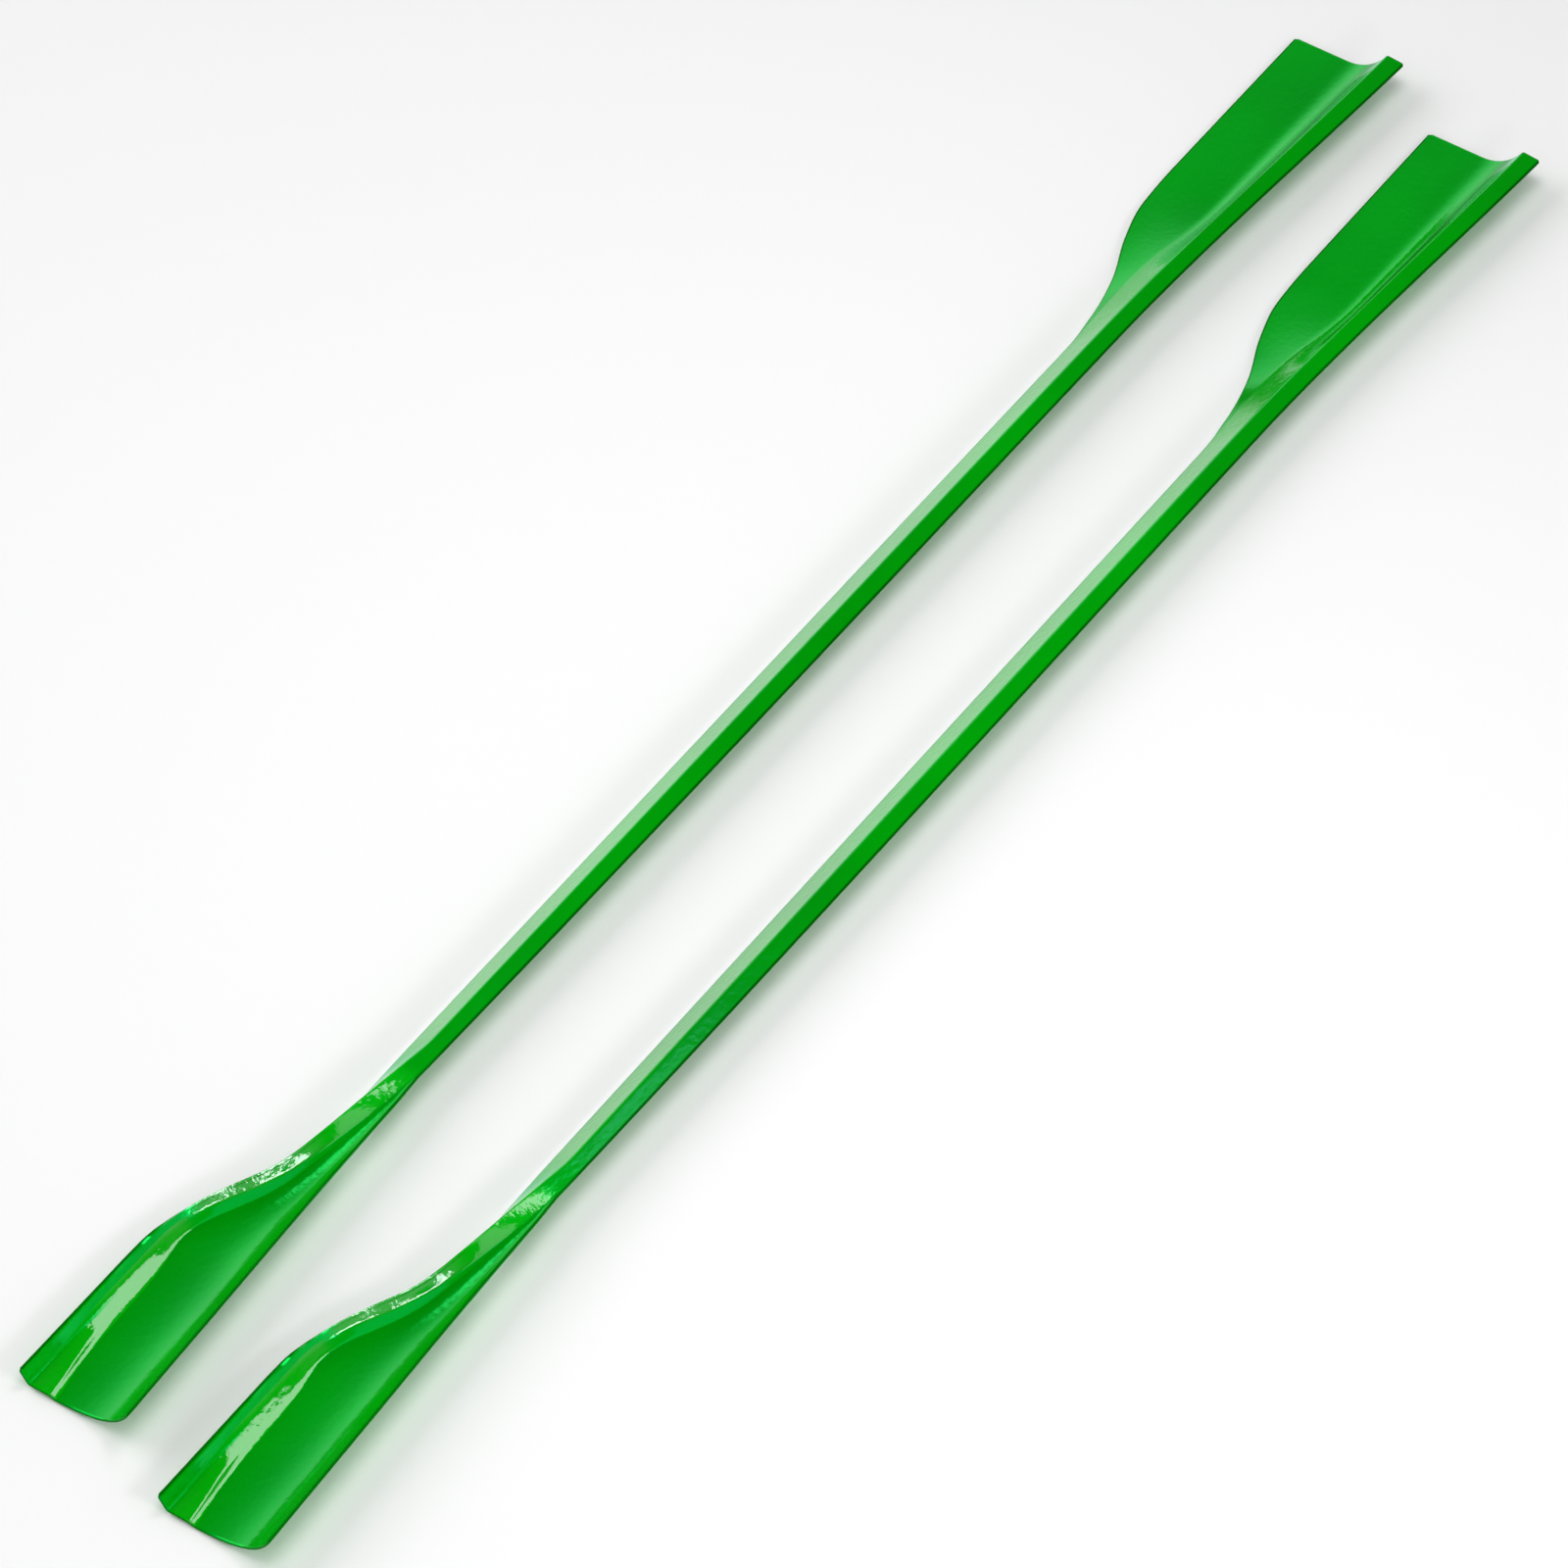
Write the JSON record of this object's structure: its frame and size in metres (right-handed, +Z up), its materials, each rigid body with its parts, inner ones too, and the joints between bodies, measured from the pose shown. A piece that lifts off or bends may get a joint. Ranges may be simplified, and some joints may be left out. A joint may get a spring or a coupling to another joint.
{
  "type": "leaf grabber hand scoops",
  "caption": "Loose long-handled sheet scoops for gripping leaves, each one folded green sheet with a narrow angled handle and a hollow scoop at either end.",
  "frame": {"origin": "middle of the pair's footprint, on the surface they lie on", "axes": "+X along the bars towards the ends whose rib stays on the right, +Y across towards the left hand, +Z up"},
  "size_m": [0.919, 0.134, 0.0162],
  "materials": {
    "green_coat": "high-gloss green coat"
  },
  "bodies": {
    "left_hand": {"left_hand": "green_coat"},
    "right_hand": {"right_hand": "green_coat"}
  },
  "joints": [
    {"name": "right_hand_lift", "type": "slide", "parent": "left_hand", "child": "right_hand", "axis": [0, 0, 1], "range_m": [0, 0.3]}
  ]
}
